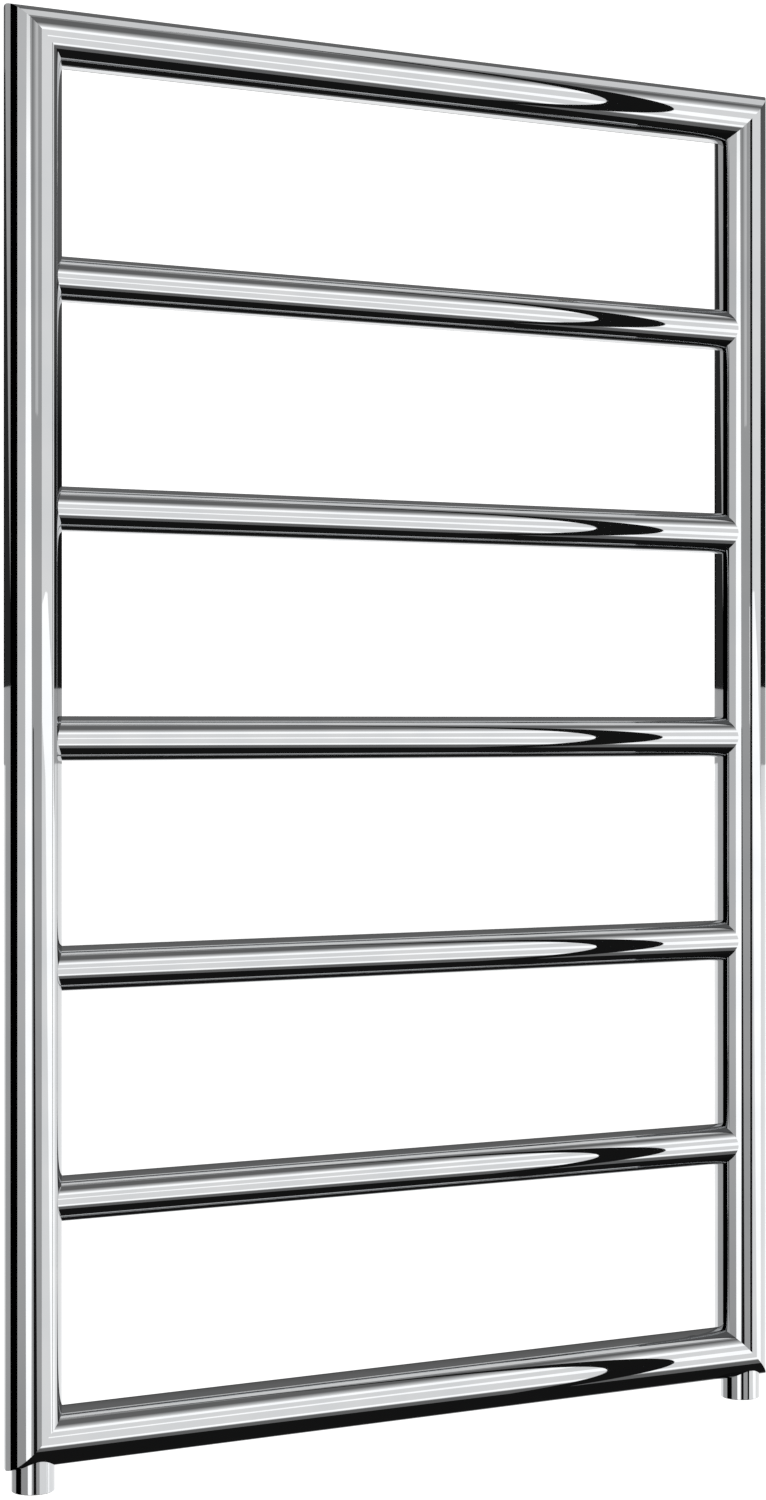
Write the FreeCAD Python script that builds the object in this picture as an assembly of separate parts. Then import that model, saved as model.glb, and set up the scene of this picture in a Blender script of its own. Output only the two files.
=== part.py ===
"""Plumbed towel radiator: a mitred frame of round tube crossed by five rungs.

Millimetres. +X runs to the right along the rungs, +Y points at the wall and +Z points up.
The origin is the centre of the wall fixings, on the plane of the four bosses' ends.
The frame tubes and the rungs all have their axes in one plane, in front of that plane.
"""
import FreeCAD
import Part
import os

# ---- Frame ----------------------------------------------------------------------------------
FRAME_WIDTH = 500.0           # outside to outside of the stiles
FRAME_HEIGHT = 800.0          # outside to outside of the rails, without the tails
FRAME_TUBE_OD = 31.8          # 1 1/4 inch tube
FRAME_TUBE_WALL = 1.5

# ---- Rungs ----------------------------------------------------------------------------------
RUNG_COUNT = 5
RUNG_OD = 25.0
RUNG_WALL = 1.5
TOP_BAY = 132.0               # top rail's axis to the first rung's axis
BOTTOM_BAY = 130.0            # last rung's axis to the bottom rail's axis

# ---- Valve tails ----------------------------------------------------------------------------
TAIL_OD = 24.0
TAIL_THREAD_BORE = 18.6       # minor diameter of a G1/2 thread
TAIL_DROP = 12.5              # how far a tail shows under the frame
TAIL_WELD_OVERLAP = 2.0       # tail left inside the bottom rail, above its hole
TAIL_END_CHAMFER = 0.6

# ---- Wall fixing bosses -----------------------------------------------------------------------
BOSS_OD = 12.0
BOSS_THREAD_BORE = 6.8        # minor diameter of an M8 thread
BOSS_THREAD_DEPTH = 9.0
BOSS_BLIND_END = 2.5          # metal left past the thread, which keeps the water in
BOSS_STAND = 2.0              # how far a boss stands out behind the stile
BOSS_FROM_END = 82.0          # boss axis to the outside of the frame, at the top and the bottom
BOSS_END_CHAMFER = 0.5

# ---- Vent and plug sockets --------------------------------------------------------------------
SOCKET_OD = 14.0
SOCKET_THREAD_BORE = 8.6      # minor diameter of a G1/8 thread
SOCKET_STAND = 3.5            # how far a socket stands out behind the top rail
SOCKET_WELD_OVERLAP = 1.0     # socket left inside the top rail, past its hole
SOCKET_RISE = 3.0             # socket axis above the rail's axis, where the air gathers
SOCKET_FROM_SIDE = 70.0       # socket axis to the outside of the frame
SEAL_OD = 13.0
SEAL_BORE_CLEARANCE = 0.2     # the seal's hole round the thread, on the radius
SEAL_THICKNESS = 1.0

# ---- Air vent ---------------------------------------------------------------------------------
SHANK_SHORTFALL = 1.0         # the threaded shank ends this far inside the socket
HEX_ACROSS_FLATS = 12.0
HEX_THICKNESS = 3.0
HEX_CHAMFER = 0.4
NECK_OD = 10.0                # the drain ring turns on this neck
RUNNING_CLEARANCE = 0.05      # radial play of a turning fit
END_PLAY = 0.3                # play each side of the drain ring, along the neck
RING_OD = 15.0
RING_WIDTH = 4.4
RING_EDGE_CHAMFER = 0.4
SPOUT_OD = 3.6
SPOUT_BORE = 1.8
SPOUT_REACH = 10.5            # spout's tip from the vent's axis
LIP_OD = 11.4                 # lip that keeps the ring on the neck
LIP_WIDTH = 1.2
WATER_PORT = 1.8              # hole from the screw's bore to the drain ring
SEAT_BORE = 3.0               # hole that the screw's cone closes

# ---- Bleed screw ------------------------------------------------------------------------------
SCREW_OD = 6.0
SCREW_HEAD_SQUARE = 5.0       # takes a radiator key
SCREW_HEAD_LENGTH = 5.0
SCREW_HEAD_GAP = 0.4          # head's underside to the lip
SCREW_CONE_LENGTH = 2.0
SCREW_HEAD_CHAMFER = 0.5

# ---- Blanking plug ----------------------------------------------------------------------------
PLUG_HEAD_OD = 13.6
PLUG_HEAD_THICKNESS = 4.0
PLUG_KEY_ACROSS_FLATS = 5.0
PLUG_KEY_DEPTH = 3.0
PLUG_EDGE_CHAMFER = 0.6


def chord_depth(radius, half_chord):
    """How far from a circle's centre a chord of this half length lies, or 0 if it is too long."""
    return max(radius ** 2 - half_chord ** 2, 0.0) ** 0.5


# ---- Places worked out from the sizes -----------------------------------------------------------
FRAME_RADIUS = FRAME_TUBE_OD / 2
FRAME_BORE_RADIUS = FRAME_RADIUS - FRAME_TUBE_WALL
RUNG_RADIUS = RUNG_OD / 2
RUNG_BORE_RADIUS = RUNG_RADIUS - RUNG_WALL
TUBE_PLANE_Y = -(FRAME_RADIUS + BOSS_STAND)
STILE_X = FRAME_WIDTH / 2 - FRAME_RADIUS
RAIL_Z = FRAME_HEIGHT / 2 - FRAME_RADIUS
MITRE_DEPTH = 1.25 * FRAME_TUBE_OD
TAIL_HOLE_EDGE_Z = -RAIL_Z - chord_depth(FRAME_BORE_RADIUS, TAIL_OD / 2)
TAIL_TOP_Z = TAIL_HOLE_EDGE_Z + TAIL_WELD_OVERLAP
TAIL_LENGTH = TAIL_TOP_Z + FRAME_HEIGHT / 2 + TAIL_DROP
FIRST_RUNG_Z = RAIL_Z - TOP_BAY
LAST_RUNG_Z = -RAIL_Z + BOTTOM_BAY
RUNG_PITCH = (FIRST_RUNG_Z - LAST_RUNG_Z) / (RUNG_COUNT - 1)
BOSS_Z = FRAME_HEIGHT / 2 - BOSS_FROM_END
SOCKET_X = FRAME_WIDTH / 2 - SOCKET_FROM_SIDE
SOCKET_Z = RAIL_Z + SOCKET_RISE
RAIL_BACK_Y = TUBE_PLANE_Y + FRAME_RADIUS
SOCKET_HOLE_EDGE_Y = TUBE_PLANE_Y + chord_depth(FRAME_BORE_RADIUS, SOCKET_RISE + SOCKET_OD / 2)
SOCKET_INNER_Y = SOCKET_HOLE_EDGE_Y - SOCKET_WELD_OVERLAP
SOCKET_OUTER_Y = RAIL_BACK_Y + SOCKET_STAND
HEAD_SEAT_Y = SOCKET_OUTER_Y + SEAL_THICKNESS
SHANK_INNER_Y = SOCKET_INNER_Y + SHANK_SHORTFALL
NECK_START_Y = HEAD_SEAT_Y + HEX_THICKNESS
RING_START_Y = NECK_START_Y + END_PLAY
LIP_START_Y = RING_START_Y + RING_WIDTH + END_PLAY
VENT_END_Y = LIP_START_Y + LIP_WIDTH
SCREW_BORE_RADIUS = SCREW_OD / 2 + RUNNING_CLEARANCE
SCREW_SEAT_Y = HEAD_SEAT_Y + SCREW_CONE_LENGTH
RING_MIDDLE_Y = RING_START_Y + RING_WIDTH / 2

AXIS_X = FreeCAD.Vector(1, 0, 0)
AXIS_Y = FreeCAD.Vector(0, 1, 0)
AXIS_Z = FreeCAD.Vector(0, 0, 1)


def point(x, y, z):
    """A place in the part's frame."""
    return FreeCAD.Vector(x, y, z)


def rod(radius, start, direction, length):
    """A solid round bar from its start point along a direction."""
    return Part.makeCylinder(radius, length, start, direction)


def chamfered_rod(radius, start, direction, length, chamfer):
    """A round bar whose far end has a small chamfer."""
    body = rod(radius, start, direction, length - chamfer)
    tip_start = start + direction * (length - chamfer)
    tip = Part.makeCone(radius, radius - chamfer, chamfer, tip_start, direction)
    return body.fuse(tip).removeSplitter()


def prism(sides, across_flats, start, length):
    """A regular prism along +Y, with one flat facing up."""
    blank = rod(across_flats, start, AXIS_Y, length)
    for side in range(sides):
        turn = 360.0 * side / sides
        block = Part.makeBox(across_flats * 2, length, across_flats)
        block.translate(start + point(-across_flats, 0, across_flats / 2))
        block.rotate(start, AXIS_Y, turn)
        blank = blank.cut(block)
    return blank


def chamfered_hexagon(across_flats, start, length, chamfer):
    """A hexagon along +Y whose outer corners are turned to a cone."""
    corner_radius = across_flats / 3 ** 0.5
    turned = chamfered_rod(corner_radius, start, AXIS_Y, length, chamfer)
    return prism(6, across_flats, start, length).common(turned)


def rail_wedge(level):
    """The block of space that holds one rail, cut off at 45 degrees at each end.

    Its slanting ends are the mitre planes, which run along Y through the outside corners.
    """
    outline = []
    for side, depth in ((-1, 0), (1, 0), (1, MITRE_DEPTH), (-1, MITRE_DEPTH), (-1, 0)):
        x = side * (FRAME_WIDTH / 2 - depth)
        z = level * (FRAME_HEIGHT / 2 - depth)
        outline.append(point(x, TUBE_PLANE_Y - FRAME_TUBE_OD, z))
    return Part.Face(Part.makePolygon(outline)).extrude(AXIS_Y * (2 * FRAME_TUBE_OD))


def rung_heights():
    """The heights of the rung axes, from the top down."""
    return [FIRST_RUNG_Z - index * RUNG_PITCH for index in range(RUNG_COUNT)]


def tail_blank(side):
    """The outside of a valve tail, hanging from inside the bottom rail."""
    top = point(side * STILE_X, TUBE_PLANE_Y, TAIL_TOP_Z)
    return chamfered_rod(TAIL_OD / 2, top, -AXIS_Z, TAIL_LENGTH, TAIL_END_CHAMFER)


def tail(side):
    """A valve tail: a short round socket, threaded right through."""
    top = point(side * STILE_X, TUBE_PLANE_Y, TAIL_TOP_Z)
    return tail_blank(side).cut(rod(TAIL_THREAD_BORE / 2, top, -AXIS_Z, TAIL_LENGTH))


def boss_blank(side, level):
    """The outside of a wall fixing boss, from inside the stile to the fixing plane."""
    length = BOSS_THREAD_DEPTH + BOSS_BLIND_END
    start = point(side * STILE_X, -length, level * BOSS_Z)
    return chamfered_rod(BOSS_OD / 2, start, AXIS_Y, length, BOSS_END_CHAMFER)


def boss(side, level):
    """A wall fixing boss, with a blind threaded hole that opens at the back."""
    mouth = point(side * STILE_X, 0, level * BOSS_Z)
    hole = rod(BOSS_THREAD_BORE / 2, mouth, -AXIS_Y, BOSS_THREAD_DEPTH)
    return boss_blank(side, level).cut(hole)


def socket_blank(side):
    """The outside of a vent or plug socket in the back of the top rail."""
    start = point(side * SOCKET_X, SOCKET_INNER_Y, SOCKET_Z)
    return rod(SOCKET_OD / 2, start, AXIS_Y, SOCKET_OUTER_Y - SOCKET_INNER_Y)


def socket(side):
    """A vent or plug socket: a round bush, threaded right through."""
    start = point(side * SOCKET_X, SOCKET_INNER_Y, SOCKET_Z)
    hole = rod(SOCKET_THREAD_BORE / 2, start, AXIS_Y, SOCKET_OUTER_Y - SOCKET_INNER_Y)
    return socket_blank(side).cut(hole)


def seal(side):
    """The flat washer between a socket and what screws into it."""
    start = point(side * SOCKET_X, SOCKET_OUTER_Y, SOCKET_Z)
    hole_radius = SOCKET_THREAD_BORE / 2 + SEAL_BORE_CLEARANCE
    return rod(SEAL_OD / 2, start, AXIS_Y, SEAL_THICKNESS).cut(
        rod(hole_radius, start, AXIS_Y, SEAL_THICKNESS))


def stile(side):
    """An upright tube, mitred at both ends, open to each rung and bored for its bosses."""
    foot = point(side * STILE_X, TUBE_PLANE_Y, -FRAME_HEIGHT / 2)
    tube = rod(FRAME_RADIUS, foot, AXIS_Z, FRAME_HEIGHT)
    tube = tube.cut(rod(FRAME_BORE_RADIUS, foot, AXIS_Z, FRAME_HEIGHT))
    for level in (1, -1):
        tube = tube.cut(rail_wedge(level))
    for height in rung_heights():
        centre = point(side * STILE_X, TUBE_PLANE_Y, height)
        tube = tube.cut(rod(RUNG_BORE_RADIUS, centre, AXIS_X * -side, FRAME_TUBE_OD))
    for level in (1, -1):
        tube = tube.cut(boss_blank(side, level))
    return tube.cut(tail_blank(side))


def rail(level):
    """A horizontal tube, mitred at both ends."""
    start = point(-FRAME_WIDTH / 2, TUBE_PLANE_Y, level * RAIL_Z)
    tube = rod(FRAME_RADIUS, start, AXIS_X, FRAME_WIDTH)
    tube = tube.cut(rod(FRAME_BORE_RADIUS, start, AXIS_X, FRAME_WIDTH))
    return tube.common(rail_wedge(level))


def top_rail():
    """The top rail, bored for the vent and plug sockets."""
    tube = rail(1)
    for side in (1, -1):
        tube = tube.cut(socket_blank(side))
    return tube


def bottom_rail():
    """The bottom rail, bored for the two valve tails."""
    tube = rail(-1)
    for side in (1, -1):
        tube = tube.cut(tail_blank(side))
    return tube


def rung(height):
    """A cross tube, saddle-cut at both ends to sit against the stiles."""
    start = point(-STILE_X, TUBE_PLANE_Y, height)
    tube = rod(RUNG_RADIUS, start, AXIS_X, 2 * STILE_X)
    tube = tube.cut(rod(RUNG_BORE_RADIUS, start, AXIS_X, 2 * STILE_X))
    for side in (1, -1):
        foot = point(side * STILE_X, TUBE_PLANE_Y, height - RUNG_OD)
        tube = tube.cut(rod(FRAME_RADIUS, foot, AXIS_Z, 2 * RUNG_OD))
    return tube


def vent_point(y):
    """A place on the air vent's axis."""
    return point(SOCKET_X, y, SOCKET_Z)


def vent_body():
    """The air vent's body: threaded shank, hexagon, neck and lip, with the screw's bore."""
    shank = rod(SOCKET_THREAD_BORE / 2, vent_point(SHANK_INNER_Y), AXIS_Y,
                HEAD_SEAT_Y - SHANK_INNER_Y)
    hexagon = chamfered_hexagon(HEX_ACROSS_FLATS, vent_point(HEAD_SEAT_Y), HEX_THICKNESS,
                                HEX_CHAMFER)
    neck = rod(NECK_OD / 2, vent_point(NECK_START_Y), AXIS_Y, LIP_START_Y - NECK_START_Y)
    lip = rod(LIP_OD / 2, vent_point(LIP_START_Y), AXIS_Y, LIP_WIDTH)
    body = shank.fuse([hexagon, neck, lip]).removeSplitter()
    body = body.cut(rod(SEAT_BORE / 2, vent_point(SHANK_INNER_Y), AXIS_Y,
                        SCREW_SEAT_Y - SHANK_INNER_Y))
    body = body.cut(rod(SCREW_BORE_RADIUS, vent_point(SCREW_SEAT_Y), AXIS_Y,
                        VENT_END_Y - SCREW_SEAT_Y))
    return body.cut(rod(WATER_PORT / 2, vent_point(RING_MIDDLE_Y), -AXIS_Z, NECK_OD))


def bleed_screw():
    """The bleed screw: a cone that closes the seat, a shank and a square head."""
    tip_radius = SCREW_OD / 2 - SCREW_CONE_LENGTH / 2
    cone_y = SCREW_SEAT_Y + RUNNING_CLEARANCE
    cone = Part.makeCone(tip_radius, SCREW_OD / 2, SCREW_CONE_LENGTH, vent_point(cone_y), AXIS_Y)
    shank_y = cone_y + SCREW_CONE_LENGTH
    head_y = VENT_END_Y + SCREW_HEAD_GAP
    shank = rod(SCREW_OD / 2, vent_point(shank_y), AXIS_Y, head_y - shank_y)
    head = prism(4, SCREW_HEAD_SQUARE, vent_point(head_y), SCREW_HEAD_LENGTH)
    corner_radius = SCREW_HEAD_SQUARE / 2 ** 0.5
    head = head.common(chamfered_rod(corner_radius, vent_point(head_y), AXIS_Y,
                                     SCREW_HEAD_LENGTH, SCREW_HEAD_CHAMFER))
    return cone.fuse([shank, head]).removeSplitter()


def drain_ring():
    """The drain ring: it turns on the vent's neck and carries the outlet spout."""
    bore_radius = NECK_OD / 2 + RUNNING_CLEARANCE
    ring = rod(RING_OD / 2, vent_point(RING_START_Y + RING_EDGE_CHAMFER), AXIS_Y,
               RING_WIDTH - 2 * RING_EDGE_CHAMFER)
    edge_radius = RING_OD / 2 - RING_EDGE_CHAMFER
    front_edge = Part.makeCone(edge_radius, RING_OD / 2, RING_EDGE_CHAMFER,
                               vent_point(RING_START_Y), AXIS_Y)
    back_edge = Part.makeCone(RING_OD / 2, edge_radius, RING_EDGE_CHAMFER,
                              vent_point(RING_START_Y + RING_WIDTH - RING_EDGE_CHAMFER), AXIS_Y)
    spout = rod(SPOUT_OD / 2, vent_point(RING_MIDDLE_Y), -AXIS_Z, SPOUT_REACH)
    ring = ring.fuse([front_edge, back_edge, spout]).removeSplitter()
    ring = ring.cut(rod(bore_radius, vent_point(RING_START_Y), AXIS_Y, RING_WIDTH))
    return ring.cut(rod(SPOUT_BORE / 2, vent_point(RING_MIDDLE_Y), -AXIS_Z, SPOUT_REACH))


def blanking_plug():
    """The blanking plug: threaded shank and a round head with a hexagon key recess."""
    shank_start = point(-SOCKET_X, SHANK_INNER_Y, SOCKET_Z)
    head_start = point(-SOCKET_X, HEAD_SEAT_Y, SOCKET_Z)
    shank = rod(SOCKET_THREAD_BORE / 2, shank_start, AXIS_Y, HEAD_SEAT_Y - SHANK_INNER_Y)
    head = chamfered_rod(PLUG_HEAD_OD / 2, head_start, AXIS_Y, PLUG_HEAD_THICKNESS,
                         PLUG_EDGE_CHAMFER)
    recess_start = head_start + AXIS_Y * (PLUG_HEAD_THICKNESS - PLUG_KEY_DEPTH)
    recess = prism(6, PLUG_KEY_ACROSS_FLATS, recess_start, PLUG_KEY_DEPTH)
    return shank.fuse(head).removeSplitter().cut(recess)


def all_pieces():
    """Every piece of the radiator, by node name."""
    pieces = {
        "left_stile": stile(-1),
        "right_stile": stile(1),
        "top_rail": top_rail(),
        "bottom_rail": bottom_rail(),
        "left_tail": tail(-1),
        "right_tail": tail(1),
        "vent_socket": socket(1),
        "vent_seal": seal(1),
        "vent_body": vent_body(),
        "bleed_screw": bleed_screw(),
        "drain_ring": drain_ring(),
        "plug_socket": socket(-1),
        "plug_seal": seal(-1),
        "blanking_plug": blanking_plug(),
    }
    for number, height in enumerate(rung_heights(), start=1):
        pieces[f"rung_{number}"] = rung(height)
    for level, level_name in ((1, "upper"), (-1, "lower")):
        for side, side_name in ((-1, "left"), (1, "right")):
            pieces[f"bracket_boss_{level_name}_{side_name}"] = boss(side, level)
    return pieces


def main():
    """Builds each piece and writes it to its own STEP file."""
    os.makedirs("parts", exist_ok=True)
    for name, shape in all_pieces().items():
        assert shape.isValid() and len(shape.Solids) == 1, name
        shape.Solids[0].exportStep(f"parts/{name}.step")
        print(f"{name}: {shape.Volume:.1f} mm3")


main()
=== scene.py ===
"""Looks of the towel warmer rack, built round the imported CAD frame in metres."""

import logging
import math
from dataclasses import dataclass
from enum import Enum

import bmesh
import bpy
from bpy.types import Material, Node, NodeSocket, NodeTree, Object
from mathutils import Matrix, Vector

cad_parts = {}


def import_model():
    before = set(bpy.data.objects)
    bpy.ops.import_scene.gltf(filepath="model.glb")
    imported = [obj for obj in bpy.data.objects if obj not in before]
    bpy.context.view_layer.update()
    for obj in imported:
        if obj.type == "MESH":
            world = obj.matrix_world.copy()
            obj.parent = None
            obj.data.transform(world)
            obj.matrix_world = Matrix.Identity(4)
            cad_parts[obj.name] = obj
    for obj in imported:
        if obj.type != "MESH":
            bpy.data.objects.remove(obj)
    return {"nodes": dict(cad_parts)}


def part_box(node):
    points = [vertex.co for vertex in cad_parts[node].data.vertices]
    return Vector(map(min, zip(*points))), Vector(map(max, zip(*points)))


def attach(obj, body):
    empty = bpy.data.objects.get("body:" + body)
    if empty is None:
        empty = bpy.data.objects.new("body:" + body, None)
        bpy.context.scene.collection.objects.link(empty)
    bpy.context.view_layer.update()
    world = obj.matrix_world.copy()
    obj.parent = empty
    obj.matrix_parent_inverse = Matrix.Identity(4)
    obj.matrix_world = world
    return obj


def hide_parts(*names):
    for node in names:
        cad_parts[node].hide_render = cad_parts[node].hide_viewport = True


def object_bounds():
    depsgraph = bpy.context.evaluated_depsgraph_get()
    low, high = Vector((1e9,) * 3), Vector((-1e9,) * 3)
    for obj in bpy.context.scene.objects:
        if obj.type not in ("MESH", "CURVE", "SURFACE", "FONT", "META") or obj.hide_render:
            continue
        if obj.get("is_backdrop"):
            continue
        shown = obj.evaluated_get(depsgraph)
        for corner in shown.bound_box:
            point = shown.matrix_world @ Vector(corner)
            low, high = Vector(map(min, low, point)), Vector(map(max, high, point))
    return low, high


BMesh, BMEdge, BMVert = bmesh.types.BMesh, bmesh.types.BMEdge, bmesh.types.BMVert
LOG = logging.getLogger("towel_rack")
MM = 0.001
# Vertices nearer than this are merged into one.
MERGE = 0.002 * MM
# A vertex this near a cutting plane, in metres, counts as lying on it.
ON_PLANE = 1e-7
SHARP_DEGREES = 30.0
# Distances of the studio's cards in metres; a nearer card hides a farther one.
BACKDROP, FAR, NEAR, NEAREST, STREAK, STAND = 5.45, 5.4, 5.35, 5.3, 3.5, 2.8
# How far under the rack the studio's floor lies, in metres.
FLOOR_DROP = 0.6


class Axis(Enum):
    """The direction that a part runs in."""

    ALONG = Vector((1, 0, 0))
    UP = Vector((0, 0, 1))
    BACK = Vector((0, 1, 0))


class Slot(Enum):
    """The record's material slots."""

    CHROME_TUBE = "chrome_tube"
    CHROME_FITTING = "chrome_fitting"
    PLATED_BRASS = "plated_brass"
    BARE_BRASS = "bare_brass"
    SEAL_RUBBER = "seal_rubber"
    RING_PLASTIC = "ring_plastic"


class Tone(Enum):
    """Greys of the studio tent as the chrome shows them, in sRGB."""

    PITCH = "#000000"
    BLACK = "#131313"
    CHARCOAL = "#242424"
    SLATE = "#505050"
    SHADE = "#5F5F5F"
    DUSK = "#828282"
    MID = "#969696"
    SILVER = "#B4B4B4"
    LAMP = "#C6C6C6"
    PAPER = "#D4D4D4"
    PEARL = "#E6E6E6"
    LIT = "#FFFFFF"


def linear(hex_colour: str) -> tuple[float, float, float, float]:
    """Turns an sRGB hex colour into linear light.

    Args:
        hex_colour: The colour as "#RRGGBB".

    Returns:
        Linear red, green and blue, and an alpha of 1.
    """
    parts = [int(hex_colour[i : i + 2], 16) / 255 for i in (1, 3, 5)]
    red, green, blue = (
        p / 12.92 if p <= 0.04045 else ((p + 0.055) / 1.055) ** 2.4 for p in parts
    )
    return red, green, blue, 1.0


def add_node(
    tree: NodeTree,
    kind: str,
    settings: dict[str, object] | None = None,
    inputs: dict[str | int, object] | None = None,
) -> Node:
    """Adds a shader node with its settings and links.

    Args:
        tree: The node tree it goes in.
        kind: The node's type name.
        settings: Values for the node's own properties.
        inputs: For each input socket, the socket that feeds it or its value.

    Returns:
        The new node.
    """
    node = tree.nodes.new(kind)
    for name, value in (settings or {}).items():
        setattr(node, name, value)
    for name, value in (inputs or {}).items():
        if isinstance(value, NodeSocket):
            tree.links.new(value, node.inputs[name])
        else:
            node.inputs[name].default_value = value
    return node


def blank_material(name: str) -> Material:
    """Makes a node material.

    Args:
        name: The material's name.

    Returns:
        The material, its tree still empty.
    """
    material = bpy.data.materials.new(name)
    material.use_nodes = True
    material.node_tree.nodes.clear()
    return material


def noise(
    tree: NodeTree,
    place: NodeSocket,
    size_mm: float | tuple[float, float, float],
    detail: float = 2.0,
) -> NodeSocket:
    """Lays a noise of a real size over Object coordinates.

    Args:
        tree: The node tree.
        place: The coordinates.
        size_mm: The pattern's size, or its size along X, Y and Z.
        detail: How many octaves it has.

    Returns:
        The noise's value.
    """
    sizes = (size_mm,) * 3 if isinstance(size_mm, (int, float)) else size_mm
    scale = [1 / (size * MM) for size in sizes]
    at = add_node(tree, "ShaderNodeMapping", {}, {"Vector": place, "Scale": scale}).outputs[0]
    settings = {"Vector": at, "Scale": 1.0, "Detail": detail}
    return add_node(tree, "ShaderNodeTexNoise", {}, settings).outputs[0]


def spread(tree: NodeTree, source: NodeSocket, low: float, high: float) -> NodeSocket:
    """Spreads a noise, which stays near 0.3 to 0.7, over the values from low to high."""
    limits = {1: 0.3, 2: 0.7, 3: low, 4: high}
    return add_node(tree, "ShaderNodeMapRange", {"clamp": True}, {0: source, **limits}).outputs[0]


def tint(tree: NodeTree, amount: NodeSocket, first: str, second: str) -> NodeSocket:
    """Mixes two hex colours; an amount of 0 is the first and 1 is the second."""
    colours = {6: linear(first), 7: linear(second)}
    return add_node(tree, "ShaderNodeMix", {"data_type": "RGBA"}, {0: amount, **colours}).outputs[2]


def relief(
    tree: NodeTree,
    height: NodeSocket,
    depth_mm: float,
    under: NodeSocket | None = None,
) -> NodeSocket:
    """Turns a pattern into a bump of a real depth.

    Args:
        tree: The node tree.
        height: The pattern.
        depth_mm: Its depth from low to high.
        under: A coarser relief that this one lies on.

    Returns:
        The normal's socket.
    """
    inputs = {"Height": height, "Strength": 1.0, "Distance": depth_mm * MM}
    if under is not None:
        inputs["Normal"] = under
    return add_node(tree, "ShaderNodeBump", {}, inputs).outputs[0]


def average(tree: NodeTree, first: NodeSocket, second: NodeSocket) -> NodeSocket:
    """Averages two patterns."""
    return add_node(tree, "ShaderNodeMix", {}, {0: 0.5, 2: first, 3: second}).outputs[0]


def finish_surface(tree: NodeTree, inputs: dict[str, object]) -> None:
    """Adds the Principled shader with these inputs, and the output."""
    skin = add_node(tree, "ShaderNodeBsdfPrincipled", {}, inputs)
    add_node(tree, "ShaderNodeOutputMaterial", {}, {"Surface": skin.outputs[0]})


@dataclass(frozen=True)
class PolishedChrome:
    """Bright nickel-chrome plate on buffed mild steel tube.

    A near-perfect mirror: the eye sees the room in it, very slightly softened and drawn out along
    the tube by the buffing wheel's lines, with a faint cloudiness where the wheel dwelt.
    """

    name: str
    grain: Axis
    colour: str = "#D2D3D4"
    cloud_colour: str = "#CCCED0"
    gloss: tuple[float, float] = (0.008, 0.026)
    # Buffing lines are some 0.02 mm apart; they are drawn this coarse so that they show.
    line_mm: float = 0.7
    line_length_mm: float = 70.0
    line_depth_mm: float = 0.00002
    cloud_mm: float = 35.0
    wave_mm: float = 120.0
    wave_depth_mm: float = 0.0015

    def line_sizes(self) -> tuple[float, float, float]:
        """Size of the buffing lines along X, Y and Z."""
        extra = self.line_length_mm - self.line_mm
        return tuple(self.line_mm + extra * part for part in self.grain.value)

    def build(self) -> Material:
        """Makes the material.

        Returns:
            The material, which reads Object coordinates.
        """
        material = blank_material(self.name)
        tree = material.node_tree
        place = add_node(tree, "ShaderNodeTexCoord").outputs["Object"]
        lines = noise(tree, place, self.line_sizes(), 3.0)
        clouds = noise(tree, place, self.cloud_mm, 4.0)
        waves = noise(tree, place, self.wave_mm, 0.0)
        wavy = relief(tree, waves, self.wave_depth_mm)
        skin = {
            "Base Color": tint(tree, spread(tree, clouds, 0, 1), self.colour, self.cloud_colour),
            "Metallic": 1.0,
            "Roughness": spread(tree, average(tree, lines, clouds), *self.gloss),
            "Normal": relief(tree, lines, self.line_depth_mm, wavy),
        }
        finish_surface(tree, skin)
        return material


@dataclass(frozen=True)
class TurnedMetal:
    """Metal cut on a lathe, plated or bare.

    The tool leaves fine rings round the axis, which break the light into thin arcs, and handling
    leaves duller, slightly darker patches.
    """

    name: str
    axis: Axis
    colour: str
    worn_colour: str
    gloss: tuple[float, float]
    # A finishing cut leaves rings some 0.1 mm apart; they are drawn this coarse so that they show.
    ring_mm: float = 0.25
    ring_length_mm: float = 30.0
    ring_depth_mm: float = 0.004
    patch_mm: float = 5.0

    def build(self) -> Material:
        """Makes the material.

        Returns:
            The material, which reads Object coordinates.
        """
        material = blank_material(self.name)
        tree = material.node_tree
        place = add_node(tree, "ShaderNodeTexCoord").outputs["Object"]
        wide = self.ring_length_mm
        sizes = tuple(wide + (self.ring_mm - wide) * part for part in self.axis.value)
        tool_rings = noise(tree, place, sizes, 2.0)
        patches = noise(tree, place, self.patch_mm, 5.0)
        skin = {
            "Base Color": tint(tree, spread(tree, patches, 0, 1), self.colour, self.worn_colour),
            "Metallic": 1.0,
            "Roughness": spread(tree, average(tree, tool_rings, patches), *self.gloss),
            "Normal": relief(tree, tool_rings, self.ring_depth_mm),
        }
        finish_surface(tree, skin)
        return material


@dataclass(frozen=True)
class Moulded:
    """A moulded rubber or plastic: matt, with the mould's fine sparked grain and faint mottling."""

    name: str
    colour: str
    second_colour: str
    gloss: tuple[float, float]
    ior: float
    # Spark-eroded mould grain, about 0.1 mm, drawn at 0.2 mm so that it shows.
    grain_mm: float = 0.2
    grain_depth_mm: float = 0.01
    mottle_mm: float = 4.0

    def build(self) -> Material:
        """Makes the material.

        Returns:
            The material, which reads Object coordinates.
        """
        material = blank_material(self.name)
        tree = material.node_tree
        place = add_node(tree, "ShaderNodeTexCoord").outputs["Object"]
        grain = noise(tree, place, self.grain_mm, 2.0)
        mottle = noise(tree, place, self.mottle_mm, 3.0)
        skin = {
            "Base Color": tint(tree, spread(tree, mottle, 0, 1), self.colour, self.second_colour),
            "Roughness": spread(tree, grain, *self.gloss),
            "IOR": self.ior,
            "Normal": relief(tree, grain, self.grain_depth_mm),
        }
        finish_surface(tree, skin)
        return material


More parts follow.
